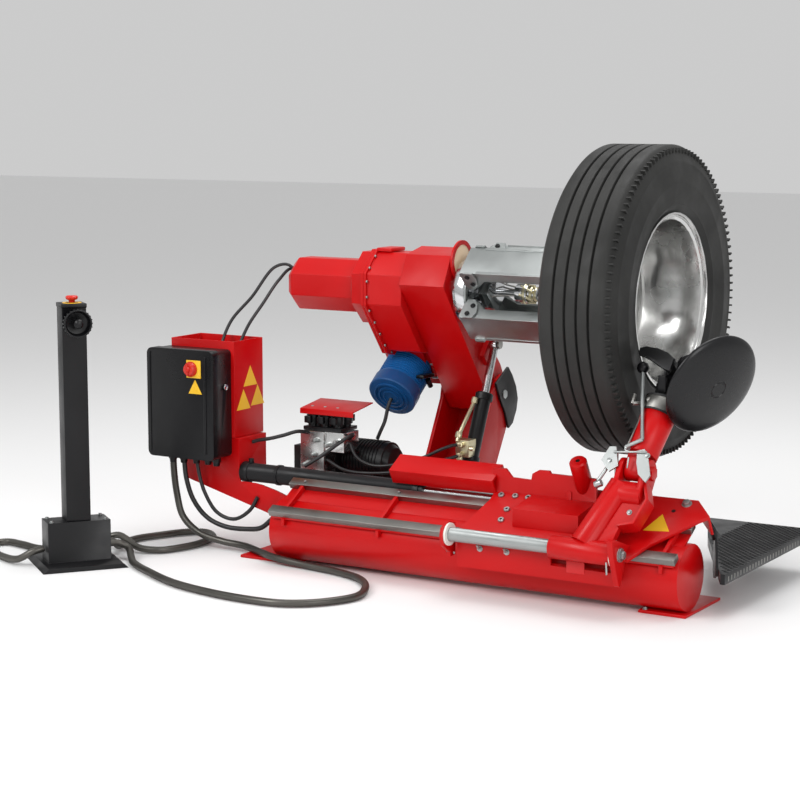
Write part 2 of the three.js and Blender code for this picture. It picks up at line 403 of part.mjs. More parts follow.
// x, distance along the arm from the pivot, distance towards the operator
const onArm = (x, a, b) => [x, PIVOT.y + a * LEAN.a[1] + b * LEAN.b[1], PIVOT.z + a * LEAN.a[2] + b * LEAN.b[2]];
const DISC = { centre: [4, 148, 719], axis: [0.826, -0.412, -0.386] };
const makeToolArm = () => {
  const sleeve = ring(PIVOT.r + GAP, 38, -406, -188, PIVOT.y, PIVOT.z, 28);
  const left = bar(onArm(-300, 20, 0), onArm(-226, 240, 4), 45, 42, 24);
  const plate = (points, b0, b1) => extrude(points, b1 - b0, basis([1, 0, 0], LEAN.a, [0, 0.809, -0.588], onArm(0, 0, b1)));
  const web = plate([[-300, 10], [-206, 10], [-192, 86], [-138, 100], [-112, 189], [-138, 250], [-226, 245]], -12, 12);
  const right = plate([[-192, 86], [-138, 100], [-112, 189], [-138, 252], [-148, 248], [-122, 189], [-145, 108],
    [-190, 96]], -30, 30);
  const clevis = [-243, -157].map((x) => wrap(bar(onArm(x, 292, 0), onArm(x + 16, 292, 0), 44, 44, 24),
    bar(onArm(x, 225, 0), onArm(x + 16, 225, 0), 44, 44, 24)));
  const yoke = bar(onArm(-230, 212, 2), onArm(-144, 212, 2), 40, 40, 20);
  const clear = alongX([[0, -900], [PIVOT.r + GAP, -900], [PIVOT.r + GAP, -100], [0, -100]], PIVOT.y, PIVOT.z);
  const cap = (x0, x1) => bar(onArm(x0, 292, 0), onArm(x1, 292, 0), 24, 24, 6);
  const clevisPin = join(bar(onArm(-250, 292, 0), onArm(-134, 292, 0), 16, 16, 20), cap(-255, -242), cap(-142, -129));
  add('tool_arm_base', cut(join(sleeve, left, right, web, yoke, clevisPin, ...clevis), clear), red());
  const up = (a) => onArm(-166 + 0.118 * (a - 560), a, 0);
  const tongue = wrap(bar(onArm(-222, 292, 0), onArm(-162, 292, 0), 30, 30, 24),
    bar(onArm(-222, 342, 0), onArm(-162, 342, 0), 36, 36, 24));
  const tube = join(bar(up(350), up(500), 52, 57, 28), tongue);
  add('tool_arm_tube', cut(tube, bar(onArm(-230, 292, 0), onArm(-150, 292, 0), 16 + GAP, 16 + GAP, 20)), red());
  add('arm_collar', bar(up(500 + GAP), up(548), 62, 62, 28), grey());
  const head = join(bar(up(548 + GAP), up(566), 50, 42, 20), bar(up(565), up(672), 42, 42, 20), bar(up(671), up(690), 42, 30,
    20));
  const axis = new THREE.Vector3(...DISC.axis).normalize();
  const along = (t) => new THREE.Vector3(...DISC.centre).addScaledVector(axis, t).toArray();
  const sleeveDisc = bar(along(-150), along(-46), 34, 34, 20);
  const bore = bar(along(-200), along(0), 20 + GAP, 20 + GAP, 20);
  add('tool_head', cut(join(head, sleeveDisc), bore), black());
  const dish = [[0, 24], [40, 23], [80, 19], [120, 12], [150, 3], [168, -5], [176, -13], [175, -19], [164, -15], [110, 0],
    [34, 8], [34, -44], [20, -44], [20, -168], [0, -168]];
  add('bead_disc', turned(dish, DISC.centre, DISC.axis, 48), black());
  const horn = plate([[-262, 676], [-225, 664], [-192, 646], [-160, 628], [-137, 621], [-134, 669], [-162, 688], [-200, 701],
    [-240, 705], [-262, 698]], 76, 90);
  const shank = bar(onArm(-152, 650, 82), onArm(-156, 650, 30), 17, 17, 16);
  const headCut = bar(up(540), up(764), 42 + GAP, 42 + GAP, 20);
  add('mounting_claw', cut(join(horn, shank), headCut), grey());
  add('lock_lever', join(bar(onArm(-245, 636, 62), onArm(-174, 378, 62), 6.5, 6.5, 10),
    bar(onArm(-174, 380, 62), onArm(-222, 350, 62), 6.5, 6.5, 12), toSolid(new THREE.SphereGeometry(20, 16, 10),
      new THREE.Matrix4().setPosition(...onArm(-245, 640, 62)))), zinc());
};

// ---- hoses and cables ----
const ROUTES = {
  conduit_main: { r: 13, steps: 60, points: [[-2060, 0, 334], [-2060, 4, 270], [-2050, 6, 190], [-2020, 0, 110],
    [-1940, -6, 55], [-1850, 6, 32], [-1750, 10, 24], [-1650, -40, 24], [-1543, -92, 24], [-1399, -104, 15],
    [-1250, -130, 14], [-1135, -179, 14], [-1056, -267, 14], [-1011, -388, 14], [-1032, -464, 14], [-1094, -549, 14],
    [-1177, -599, 14], [-1327, -611, 14], [-1506, -589, 14], [-1656, -546, 14], [-1813, -466, 14], [-1950, -380, 14],
    [-2010, -320, 20], [-2050, -285, 40], [-2078, -306, 58], [-2097, -337, 60]] },
  conduit_loop: { r: 13, steps: 68, points: [[-2133, -309, 60], [-2120, -288, 56], [-2140, -230, 26], [-2194, -146, 14],
    [-2192, -42, 14], [-2161, 39, 14], [-2113, 131, 14], [-2049, 170, 14], [-1975, 125, 14], [-1945, 12, 14],
    [-1957, -81, 14], [-2000, -168, 14], [-2073, -196, 20], [-2130, -190, 42], [-2180, -182, 52], [-2230, -205, 38],
    [-2290, -280, 15], [-2384, -370, 14], [-2488, -352, 14], [-2570, -345, 14], [-2594, -400, 14], [-2530, -470, 14],
    [-2420, -540, 14], [-2310, -575, 24], [-2264, -555, 50], [-2239, -522, 60]] },
  cylinder_hose: { r: 7, steps: 30, points: [[-1824, 470, 990], [-1852, 452, 1016], [-1890, 420, 1005],
    [-1930, 330, 900], [-1960, 230, 810], [-1966, 170, 700], [-1966, 160, 560]] },
  motor_cable: { r: 9, steps: 24, points: [[-1421, 497, 530], [-1424, 480, 500], [-1420, 450, 450], [-1430, 432, 410],
    [-1440, 430, 386]] },
};
const makeCables = () => Object.entries(ROUTES).forEach(([name, { r, steps, points }]) =>
  add(name, cord(points, r, steps, 6), armour()));

makeBase();
makeFrame();
makeControlPost();
makePowerPack();
makePedestal();
makeArm();
makeLift();
makeChuck();
makeCarriage();
makeToolArm();
makeCables();

export default group;
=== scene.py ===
# %% [markdown]
# # A truck tyre changer
# The machine clamps a truck wheel on four jaws, turns it, and a tool arm on a sliding carriage works the tyre off its
# rim. The engineering model already holds every part with a real size, so this lesson gives those parts their paint
# and metal, and adds what is too fine for it: bolts, seams, tread, switches, hoses and cables.
# We load the frame first, because every later position is read from it.

import math

import bmesh
import bpy
from mathutils import Matrix, Vector
from mathutils.geometry import convex_hull_2d


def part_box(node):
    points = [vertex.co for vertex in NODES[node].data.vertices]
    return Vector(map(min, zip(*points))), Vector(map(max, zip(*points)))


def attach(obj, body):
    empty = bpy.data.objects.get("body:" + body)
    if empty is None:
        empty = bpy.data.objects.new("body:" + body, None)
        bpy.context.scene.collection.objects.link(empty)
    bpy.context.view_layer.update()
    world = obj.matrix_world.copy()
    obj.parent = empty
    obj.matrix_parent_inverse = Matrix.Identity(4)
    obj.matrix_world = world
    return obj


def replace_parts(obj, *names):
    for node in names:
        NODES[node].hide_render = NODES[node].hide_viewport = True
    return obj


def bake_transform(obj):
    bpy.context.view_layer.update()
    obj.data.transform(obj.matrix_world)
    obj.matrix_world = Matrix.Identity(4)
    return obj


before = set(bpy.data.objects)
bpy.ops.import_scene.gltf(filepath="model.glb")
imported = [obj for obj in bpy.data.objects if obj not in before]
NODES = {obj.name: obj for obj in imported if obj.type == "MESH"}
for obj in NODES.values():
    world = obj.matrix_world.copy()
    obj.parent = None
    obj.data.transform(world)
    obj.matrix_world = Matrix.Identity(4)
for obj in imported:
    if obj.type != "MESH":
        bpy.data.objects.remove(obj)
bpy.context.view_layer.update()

# %% [markdown]
# ## The camera
# A machine this wide is shown from far away with a long lens, so that its parallel tubes stay nearly parallel. The
# camera stands in front and to the right, a little above the wheel.

# %% camera
CAMERA_PLACE = Vector((2.4852, -5.9045, 1.6111))
CAMERA_AXES = (Vector((0.856, 0.517, 0.0)), Vector((-0.0741, 0.1227, 0.9897)), Vector((0.5119, -0.8470, 0.1433)))
camera_data = bpy.data.cameras.new("camera")
camera_data.lens = 91.57
camera_data.sensor_width = 36
camera_data.clip_end = 60
camera = bpy.data.objects.new("camera", camera_data)
camera.matrix_world = Matrix.Translation(CAMERA_PLACE) @ Matrix(CAMERA_AXES).transposed().to_4x4()
bpy.context.scene.collection.objects.link(camera)
bpy.context.scene.camera = camera
print("camera is", round(CAMERA_PLACE.length, 2), "m from the corner of the base")

# %% [markdown]
# ## Finishes
# Painted steel is never one flat colour: the paint lies thicker in places, is rubbed duller where hands and tools
# reach, and has a faint orange-peel skin. One function builds all the paints and metals from the same three ideas:
# cloudy colour, cloudy gloss and a fine bump. A number that is the same all over is typed into the shader's socket.


# %% finishes
def cloud(tree, scale, detail=4.0, stretch=(1, 1, 1)):
    """A soft noise on the object's own coordinates, stretched along an axis for brushed metal."""
    place = tree.nodes.new("ShaderNodeTexCoord")
    squeeze = tree.nodes.new("ShaderNodeMapping")
    squeeze.inputs["Scale"].default_value = stretch
    noise = tree.nodes.new("ShaderNodeTexNoise")
    noise.inputs["Scale"].default_value = scale
    noise.inputs["Detail"].default_value = detail
    tree.links.new(place.outputs["Object"], squeeze.inputs["Vector"])
    tree.links.new(squeeze.outputs["Vector"], noise.inputs["Vector"])
    return noise.outputs["Fac"]


def ramp(tree, source, low, high, start=0.35, end=0.65):
    """Maps a noise to a range of colours or of grey values."""
    node = tree.nodes.new("ShaderNodeValToRGB")
    node.color_ramp.elements[0].position = start
    node.color_ramp.elements[1].position = end
    node.color_ramp.elements[0].color = low if len(low) == 4 else (*low, 1)
    node.color_ramp.elements[1].color = high if len(high) == 4 else (*high, 1)
    tree.links.new(source, node.inputs["Fac"])
    return node.outputs["Color"]


def bump(tree, shader, height, strength, distance):
    """Feeds a height to the shader's normal."""
    node = tree.nodes.new("ShaderNodeBump")
    node.inputs["Strength"].default_value = strength
    node.inputs["Distance"].default_value = distance
    tree.links.new(height, node.inputs["Height"])
    tree.links.new(node.outputs["Normal"], shader.inputs["Normal"])


def finish(name, colour, gloss, metal=0.0, spread=0.12, grain=60.0, depth=0.15, stretch=(1, 1, 1), coat=0.0, shine=0.5):
    """A paint, plastic or metal. gloss is its roughness range, spread how much its colour wanders."""
    material = bpy.data.materials.new(name)
    material.use_nodes = True
    tree = material.node_tree
    shader = tree.nodes["Principled BSDF"]
    shader.inputs["Metallic"].default_value = metal
    shader.inputs["Coat Weight"].default_value = coat
    shader.inputs["Specular IOR Level"].default_value = shine
    shader.inputs["Coat Roughness"].default_value = 0.08
    dark = [c * (1 - spread) for c in colour]
    light = [min(1.0, c * (1 + spread)) for c in colour]
    tree.links.new(ramp(tree, cloud(tree, 3.2), dark, light), shader.inputs["Base Color"])
    low, high = gloss
    tree.links.new(ramp(tree, cloud(tree, 9.0, 6.0), (low,) * 3, (high,) * 3), shader.inputs["Roughness"])
    bump(tree, shader, cloud(tree, grain, 3.0, stretch), depth, 0.002)
    return material


red_paint = finish("red_paint", (0.52, 0.001, 0.002), (0.3, 0.44), spread=0.06, grain=260, depth=0.04, shine=0.28)
dull_red = finish("dull_red", (0.42, 0.01, 0.01), (0.5, 0.7), spread=0.2, grain=120, depth=0.1)
black_paint = finish("black_paint", (0.006, 0.006, 0.007), (0.3, 0.46), spread=0.25, grain=300, depth=0.08, shine=0.3)
black_plastic = finish("black_plastic", (0.005, 0.005, 0.006), (0.26, 0.4), spread=0.15, grain=500, depth=0.12,
                       shine=0.3)
steel = finish("bare_steel", (0.27, 0.265, 0.25), (0.3, 0.48), 1.0, grain=90, depth=0.12, stretch=(1, 14, 14))
zinc = finish("zinc_plate", (0.4, 0.42, 0.415), (0.34, 0.5), 1.0, spread=0.14, grain=70, depth=0.03)
chrome = finish("hard_chrome", (0.62, 0.63, 0.64), (0.12, 0.22), 1.0, spread=0.04, grain=220, depth=0.02)
aluminium = finish("machined_aluminium", (0.74, 0.74, 0.73), (0.18, 0.34), 1.0, grain=120, depth=0.05)
polished_rim = finish("polished_rim", (0.7, 0.7, 0.69), (0.16, 0.3), 1.0, spread=0.05, grain=160, depth=0.03)
blue_paint = finish("blue_paint", (0.006, 0.13, 0.4), (0.34, 0.5), spread=0.14, grain=240, depth=0.1)
cream_zinc = finish("yellow_zinc", (0.66, 0.6, 0.4), (0.25, 0.45), 0.9, spread=0.2, grain=90, depth=0.1)
dark_steel = finish("blackened_steel", (0.035, 0.035, 0.036), (0.35, 0.6), 0.6, spread=0.3, grain=140, depth=0.12)
rubber = finish("tyre_rubber", (0.02, 0.02, 0.019), (0.5, 0.72), spread=0.3, grain=420, depth=0.25, shine=0.35)
hose_rubber = finish("hose_rubber", (0.014, 0.014, 0.015), (0.32, 0.5), spread=0.2, grain=380, depth=0.15)
conduit_steel = finish("armoured_conduit", (0.1, 0.095, 0.085), (0.3, 0.5), 0.7, spread=0.35, grain=160, depth=0.15)
red_plastic = finish("red_plastic", (0.6, 0.02, 0.01), (0.18, 0.3), spread=0.06, grain=400, depth=0.04)
yellow_plate = finish("yellow_plate", (0.86, 0.5, 0.02), (0.3, 0.45), spread=0.06, grain=300, depth=0.05)
cream_face = finish("cream_face", (0.82, 0.62, 0.42), (0.3, 0.45), spread=0.08, grain=200, depth=0.03)
brass = finish("brass", (0.6, 0.42, 0.16), (0.25, 0.4), 1.0, spread=0.12, grain=160, depth=0.06)
bright_red = finish("bright_red", (0.66, 0.006, 0.008), (0.4, 0.5), spread=0.04, grain=260, depth=0.03)
dark_blue = finish("dark_blue", (0.004, 0.075, 0.24), (0.34, 0.5), spread=0.14, grain=240, depth=0.1)
disc_black = finish("disc_black", (0.006, 0.006, 0.007), (0.22, 0.34), spread=0.2, grain=220, depth=0.03, shine=0.35)
white_plastic = finish("white_plastic", (0.8, 0.79, 0.74), (0.35, 0.5), spread=0.05, grain=260, depth=0.03)
print("finishes", len(bpy.data.materials))

# %% [markdown]
# ## Dressing the engineering parts
# A machined or welded part never has a knife edge: every corner is rolled, ground or painted over, and that rounded
# edge catches a thin line of light. The parts arrive as loose triangles, so a Weld joins them, a planar Decimate
# gives whole faces, and a small Bevel with hardened normals rounds the corners without touching the part itself.

# %% paint the parts
DRESS = {
    red_paint: "base_tube bed_plate right_foot rear_frame column control_post control_bracket chuck_arm gear_case_left"
    " gear_case_right chuck_cylinder lift_bracket pack_cover carriage_plate tool_arm_base tool_arm_tube",
    black_paint: "tool_head oil_tank valve_coils pump_motor pedestal_base pedestal_post slide_barrel lift_barrel"
    " footplate",
    black_plastic: "control_box joystick_cup joystick_lever",
    steel: "front_rail rear_rail hinge_pin lift_eye_pin bull_gear arm_collar",
    zinc: "jaw_1 jaw_2 jaw_3 jaw_4 lock_lever pivot_shaft",
    chrome: "spindle lift_rod slide_rod side_button",
    aluminium: "valve_block",
    polished_rim: "rim wheel_disc",
    blue_paint: "drive_motor",
    cream_zinc: "lift_manifold",
    dark_steel: "hinge_guard mounting_claw bead_disc",
    red_plastic: "switch_knob stop_button",
    rubber: "tyre",
    hose_rubber: "cylinder_hose motor_cable",
    conduit_steel: "conduit_main conduit_loop",
}
EDGE = 0.0012
WIDE_EDGE = {"control_box": 0.004, "pedestal_post": 0.003, "tool_head": 0.003, "tool_arm_base": 0.003,
             "chuck_arm": 0.003, "gear_case_left": 0.002, "gear_case_right": 0.002, "chuck_cylinder": 0.003,
             "drive_motor": 0.003}


def dress(node, material):
    """Paints an engineering part and rounds its edges."""
    part = NODES[node]
    part.data.materials.clear()
    part.data.materials.append(material)
    part.data.polygons.foreach_set("use_smooth", [True] * len(part.data.polygons))
    weld = part.modifiers.new("weld", "WELD")
    weld.merge_threshold = 0.00002
    flat = part.modifiers.new("whole_faces", "DECIMATE")
    flat.decimate_type = "DISSOLVE"
    flat.angle_limit = math.radians(1)
    edge = part.modifiers.new("edges", "BEVEL")
    edge.width = WIDE_EDGE.get(node, EDGE)
    edge.segments = 2
    edge.limit_method = "ANGLE"
    edge.angle_limit = math.radians(28)
    edge.harden_normals = True


for material, names in DRESS.items():
    for name in names.split():
        dress(name, material)
NODES["peg"].data.materials.clear()
dress("peg", red_paint)
print("dressed", sum(len(names.split()) for names in DRESS.values()) + 1, "of", len(NODES))

# %% [markdown]
# ## Small tools for small parts
# Every extra part below is made from a handful of moves: a rod between two points, a block with rounded edges, a flat
# outline given a thickness, and a half section turned about an axis. All sizes are in millimetres and are scaled once.


# %% tools
def mm(x, y, z):
    return Vector((x, y, z)) / 1000


def stand(place, way):
    """A matrix that puts a shape's Z along a direction."""
    return Matrix.Translation(place) @ Vector(way).to_track_quat("Z", "Y").to_matrix().to_4x4()


def soften(bm, verts, width, segments=2):
    """Rounds the sharp edges of some vertices."""
    edges = {e for v in verts for e in v.link_edges if e.calc_face_angle(0) > math.radians(30)}
    bmesh.ops.bevel(bm, geom=list(edges), offset=width, offset_type="OFFSET", segments=segments, profile=0.5,
                    affect="EDGES", material=-1, clamp_overlap=True)


def rod(bm, start, end, radius, radius_end=None, sides=24, edge=0.0008):
    """A bar or cone between two points; six sides make a hexagon."""
    way = end - start
    made = bmesh.ops.create_cone(bm, cap_ends=True, segments=sides, radius1=radius / 1000, depth=way.length,
                                 radius2=(radius if radius_end is None else radius_end) / 1000,
                                 matrix=stand((start + end) / 2, way))["verts"]
    if edge:
        soften(bm, made, edge)


def slab(bm, low, high, edge=0.0015, matrix=None):
    """A block between two corners."""
    made = bmesh.ops.create_cube(bm, size=1)["verts"]
    middle, size = (low + high) / 2, high - low
    place = Matrix.Translation(middle) @ Matrix.Diagonal((abs(size.x), abs(size.y), abs(size.z), 1))
    bmesh.ops.transform(bm, verts=made, matrix=(matrix or Matrix()) @ place)
    if edge:
        soften(bm, made, edge)


def plate(bm, points, depth):
    """A flat outline pulled along a vector. Thin sheet is cut clean, so its edges stay sharp."""
    face = bm.faces.new([bm.verts.new(p) for p in points])
    pulled = bmesh.ops.extrude_face_region(bm, geom=[face])["geom"]
    bmesh.ops.translate(bm, verts=[part for part in pulled if isinstance(part, bmesh.types.BMVert)], vec=depth)


def turned(bm, profile, place, way, steps=48):
    """Turns a half section of (radius, height) points about an axis."""
    matrix = stand(place, way)
    verts = [bm.verts.new(matrix @ Vector((r / 1000, 0, h / 1000))) for r, h in profile]
    closed = [(verts[-1], verts[0])] if profile[0][0] > 0 else []
    edges = [bm.edges.new(pair) for pair in [*zip(verts, verts[1:]), *closed]]
    bmesh.ops.spin(bm, geom=verts + edges, cent=matrix.translation, axis=matrix.to_3x3() @ Vector((0, 0, 1)),
                   angle=2 * math.pi, steps=steps, use_merge=True)


def bolt(bm, place, way, size, washer=True):
    """A hexagon head on its washer, standing on a surface. size is the thread in millimetres."""
    way = Vector(way).normalized()
    if washer:
        rod(bm, place - way * 0.001, place + way * 0.0015, size * 1.15, edge=0.0003)
    rod(bm, place + way * 0.0014, place + way * (0.0015 + size * 0.00065), size * 0.88, sides=6, edge=0.0004)


made_here = []


def tell(cell):
    """Prints the pieces that a cell has made."""
    print(cell, "made", ", ".join(made_here))
    made_here.clear()


def show(name, bm, material, body, angle=35):
    """Makes a piece out of the shapes so far and hangs it on a body."""
    bmesh.ops.remove_doubles(bm, verts=bm.verts, dist=1e-6)
    bmesh.ops.recalc_face_normals(bm, faces=bm.faces)
    for face in bm.faces:
        face.smooth = True
    for edge in bm.edges:
        edge.smooth = edge.calc_face_angle(0) < math.radians(angle)
    data = bpy.data.meshes.new(name)
    bm.to_mesh(data)
    bm.free()
    data.materials.append(material)
    piece = bpy.data.objects.new(name, data)
    bpy.context.scene.collection.objects.link(piece)
    if body:
        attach(piece, body)
    made_here.append(name)
    return piece


SLOPE = math.atan(0.583)
BED_UP = Vector((0, -math.sin(SLOPE), math.cos(SLOPE)))
BED_BACK = Vector((0, math.cos(SLOPE), math.sin(SLOPE)))
ARM_UP, ARM_OUT = Vector((0, 0.588, 0.809)), Vector((0, -0.809, 0.588))


def on_bed(x, u, n):
    """A point on the sloping bed: along the machine, up the slope, off the surface."""
    return mm(x, 0, 285) + BED_BACK * u / 1000 + BED_UP * n / 1000


def on_arm(x, a, b):
    """A point on the tool arm: across, along the arm from its pivot, towards the operator."""
    return mm(x, -176, 208) + ARM_UP * a / 1000 + ARM_OUT * b / 1000


def on_case(x, t, d):
    """A point on the gear case: across, down the case from the spindle, towards the back."""
    return mm(x, 480 + 0.602 * t + 0.799 * d, 949 - 0.799 * t + 0.602 * d)


print("tools ready; the bed slopes at", round(math.degrees(SLOPE), 1), "degrees")

# %% [markdown]
# ## Hoses and cables
# Each one is a tube swept along a smooth line through the points where it was seen to lie. The two thick ones are
# steel conduit: their radius swells and shrinks along the line, which gives the ribs. A hose that joins a moving
# part to the standing frame is hung on neither of them.


# %% hoses and cables
def smooth_line(points, gap):
    """A centripetal spline through the points, cut into equal steps."""
    points = [mm(*p) for p in points]
    ends = [points[0] * 2 - points[1], *points, points[-1] * 2 - points[-2]]
    line = []
    for a, b, c, d in zip(ends, ends[1:], ends[2:], ends[3:]):
        t1 = (b - a).length ** 0.5
        t2 = t1 + (c - b).length ** 0.5
        t3 = t2 + (d - c).length ** 0.5
        for k in range(24):
            t = t1 + (t2 - t1) * k / 24
            p = a * ((t1 - t) / t1) + b * (t / t1)
            q = b * ((t2 - t) / (t2 - t1)) + c * ((t - t1) / (t2 - t1))
            r = c * ((t3 - t) / (t3 - t2)) + d * ((t - t2) / (t3 - t2))
            s = p * ((t2 - t) / t2) + q * (t / t2)
            u = q * ((t3 - t) / (t3 - t1)) + r * ((t - t1) / (t3 - t1))
            line.append(s * ((t2 - t) / (t2 - t1)) + u * ((t - t1) / (t2 - t1)))
    line.append(points[-1])
    total = sum((q - p).length for p, q in zip(line, line[1:]))
    count = max(6, round(total / gap))
    out, walked, i = [line[0]], 0.0, 0
    for k in range(1, count):
        want = total * k / count
        while walked + (line[i + 1] - line[i]).length < want:
            walked += (line[i + 1] - line[i]).length
            i += 1
        out.append(line[i].lerp(line[i + 1], (want - walked) / (line[i + 1] - line[i]).length))
    return [*out, line[-1]], total


def hose(name, points, radius, material, body, ribbed=False, between=None, instead=()):
    """A cable of a real length, swept as a closed tube."""
    path, length = smooth_line(points, 0.004 if ribbed else 0.012)
    sides = 14 if ribbed else 12
    bm = bmesh.new()
    side = (path[1] - path[0]).orthogonal().normalized()
    rings = []
    for i, point in enumerate(path):
        way = (path[min(i + 1, len(path) - 1)] - path[max(i - 1, 0)]).normalized()
        side = (side - way * side.dot(way)).normalized()
        other = way.cross(side)
        r = radius / 1000 * ((0.9 if i % 2 else 1.0) if ribbed else 1.0)
        turns = [2 * math.pi * k / sides for k in range(sides)]
        rings.append([bm.verts.new(point + (side * math.cos(t) + other * math.sin(t)) * r) for t in turns])
    for low, high in zip(rings, rings[1:]):
        for k in range(sides):
            j = (k + 1) % sides
            bm.faces.new((low[k], low[j], high[j], high[k]))
    bm.faces.new(rings[0][::-1])
    bm.faces.new(rings[-1])
    piece = show(name, bm, material, None if between else body, 60)
    if between:
        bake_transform(piece)
    if instead:
        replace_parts(piece, *instead)
    print(name, "is", round(length, 2), "m long")
    return piece


hose("long_conduit", [(-2060, 0, 334), (-2060, 4, 270), (-2050, 6, 190), (-2020, 0, 110), (-1940, -6, 55),
                      (-1850, 6, 32), (-1750, 10, 24), (-1650, -40, 24), (-1543, -92, 24), (-1399, -104, 15),
                      (-1250, -130, 14), (-1135, -179, 14), (-1056, -267, 14), (-1011, -388, 14), (-1032, -464, 14),
                      (-1094, -549, 14), (-1177, -599, 14), (-1327, -611, 14), (-1506, -589, 14), (-1656, -546, 14),
                      (-1813, -466, 14), (-1950, -380, 14), (-2010, -320, 20), (-2050, -285, 40), (-2078, -306, 58),
                      (-2097, -337, 60)], 13, conduit_steel, "base", True, instead=["conduit_main"])
hose("loop_conduit", [(-2133, -309, 60), (-2120, -288, 56), (-2140, -230, 26), (-2194, -146, 14), (-2192, -42, 14),
                      (-2161, 39, 14), (-2113, 131, 14), (-2049, 170, 14), (-1975, 125, 14), (-1945, 12, 14),
                      (-1957, -81, 14), (-2000, -168, 14), (-2073, -196, 20), (-2130, -190, 42), (-2180, -182, 52),
                      (-2230, -205, 38), (-2290, -280, 15), (-2384, -370, 14), (-2488, -352, 14), (-2570, -345, 14),
                      (-2594, -400, 14), (-2530, -470, 14), (-2420, -540, 14), (-2310, -575, 24), (-2264, -555, 50),
                      (-2239, -522, 60)], 13, conduit_steel, "base", True, instead=["conduit_loop"])
ARM_TO_BASE = ("arm", "base", mm(-1840, 460, 1000), mm(-1950, 200, 780))
hose("cylinder_hose_line", [(-1824, 470, 990), (-1852, 452, 1016), (-1890, 420, 1005), (-1930, 330, 900),
                            (-1960, 230, 810), (-1966, 170, 700), (-1966, 160, 560), (-1950, 150, 425)], 6, hose_rubber,
     "arm", between=ARM_TO_BASE, instead=["cylinder_hose"])
hose("cylinder_hose_pair", [(-1818, 500, 975), (-1846, 470, 1000), (-1868, 420, 960), (-1872, 320, 880),
                            (-1880, 220, 790), (-1890, 160, 680), (-1900, 150, 540), (-1910, 150, 425)], 6, hose_rubber,
     "arm", between=ARM_TO_BASE)
hose("motor_lead", [(-1421, 497, 530), (-1424, 480, 500), (-1420, 450, 450), (-1430, 432, 410), (-1440, 430, 386)], 7,
     hose_rubber, "arm", between=("arm", "base", mm(-1421, 490, 520), mm(-1440, 430, 390)),
     instead=["motor_cable"])
hose("box_cable_a", [(-2018, 10, 334), (-2010, 12, 250), (-1985, 20, 170), (-1930, 26, 110), (-1850, 30, 82),
                     (-1760, 40, 80), (-1700, 46, 90), (-1650, 50, 130)], 9, hose_rubber, "base")
hose("box_cable_b", [(-1968, 20, 334), (-1960, 24, 270), (-1940, 30, 200), (-1890, 36, 130), (-1820, 44, 110),
                     (-1750, 48, 150), (-1720, 54, 200)], 7, hose_rubber, "base")
hose("valve_hose_a", [(-1800, 140, 385), (-1780, 145, 392), (-1730, 150, 402), (-1680, 165, 416), (-1645, 205, 428),
                      (-1630, 248, 420)], 7, hose_rubber, "base")
hose("valve_hose_b", [(-1480, 300, 400), (-1455, 285, 420), (-1440, 250, 425), (-1459, 200, 402), (-1510, 160, 356),
                      (-1560, 124, 318)], 7, hose_rubber, "base")
LIFT_TO_BASE = ("lift_cylinder", "base", mm(-1100, 340, 380), mm(-1250, 330, 330))
hose("lift_hose_a", [(-1072, 396, 400), (-1085, 380, 400), (-1115, 352, 388), (-1199, 335, 348), (-1369, 300, 310),
                     (-1440, 290, 335), (-1479, 300, 385)], 6, hose_rubber, "base", between=LIFT_TO_BASE)
hose("lift_hose_b", [(-1072, 396, 362), (-1085, 376, 356), (-1120, 345, 345), (-1200, 320, 316), (-1330, 282, 290),
                     (-1470, 262, 290), (-1559, 270, 320)], 6, hose_rubber, "base", between=LIFT_TO_BASE)
tell("hoses and cables")

# %% [markdown]
# ## The wheel
# The tyre gets its round shoulders, the ridges that ring its side wall and the small ribs along its shoulder. The
# disc of the wheel has a ring of hand holes and ten stud holes. They look black because nothing behind them is lit,
# so they are drawn as thin black discs: painted shade.

# %% wheel
SPIN = mm(0, 480, 949)
TYRE_MIDDLE = -414.5
side_wall = [(293, 84), (293, 116), (300, 119), (309, 120), (316, 128), (326, 133), (330, 138), (336, 138), (340, 137),
             (372, 144), (396, 146.6), (400, 148), (406, 148), (410, 146.8), (440, 145), (466, 141), (470, 142),
             (476, 141), (480, 138), (500, 131), (512, 124), (522, 116), (529, 110), (532, 104)]
tread = []
for groove in (64, 21, -21, -64):
    tread += [(532, groove + 5.5), (530.5, groove + 4.5), (521, groove + 3), (521, groove - 3), (530.5, groove - 4.5),
              (532, groove - 5.5)]
inner = [(505, 95), (470, 114), (400, 124), (340, 112), (312, 84)]


def flip(line):
    """The same half section on the tyre's other side."""
    return [(r, -x) for r, x in reversed(line)]


bm = bmesh.new()
turned(bm, side_wall + tread + flip(side_wall) + flip(inner) + inner, SPIN + mm(TYRE_MIDDLE, 0, 0), (1, 0, 0),
       144)
SHOULDER_RIBS = 120
for k in range(SHOULDER_RIBS):
    turn = Matrix.Translation(SPIN) @ Matrix.Rotation(2 * math.pi * k / SHOULDER_RIBS, 4, "X")
    slab(bm, mm(TYRE_MIDDLE + 112, -3, 505), mm(TYRE_MIDDLE + 134, 3, 521), 0, turn)
tyre_piece = show("tyre_rubber_body", bm, rubber, "chuck", 50)
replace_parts(tyre_piece, "tyre")
# thin black discs laid on the wheel disc at the hand holes and stud holes: painted shade for the unlit holes
bm = bmesh.new()
for k in range(10):
    turn = Matrix.Rotation(2 * math.pi * (k + 0.5) / 10, 4, "X")
    hub = SPIN + turn @ mm(0, 0, 201)
    rod(bm, hub + mm(-536.6, 0, 0), hub + mm(-535.2, 0, 0), 25, edge=0)
    hub = SPIN + turn @ mm(0, 0, 160)
    rod(bm, hub + mm(-536.6, 0, 0), hub + mm(-535.2, 0, 0), 11, edge=0)
show("hole_shade_discs", bm, black_paint, "chuck")
print("tyre", len(tyre_piece.data.polygons), "faces")
tell("wheel")

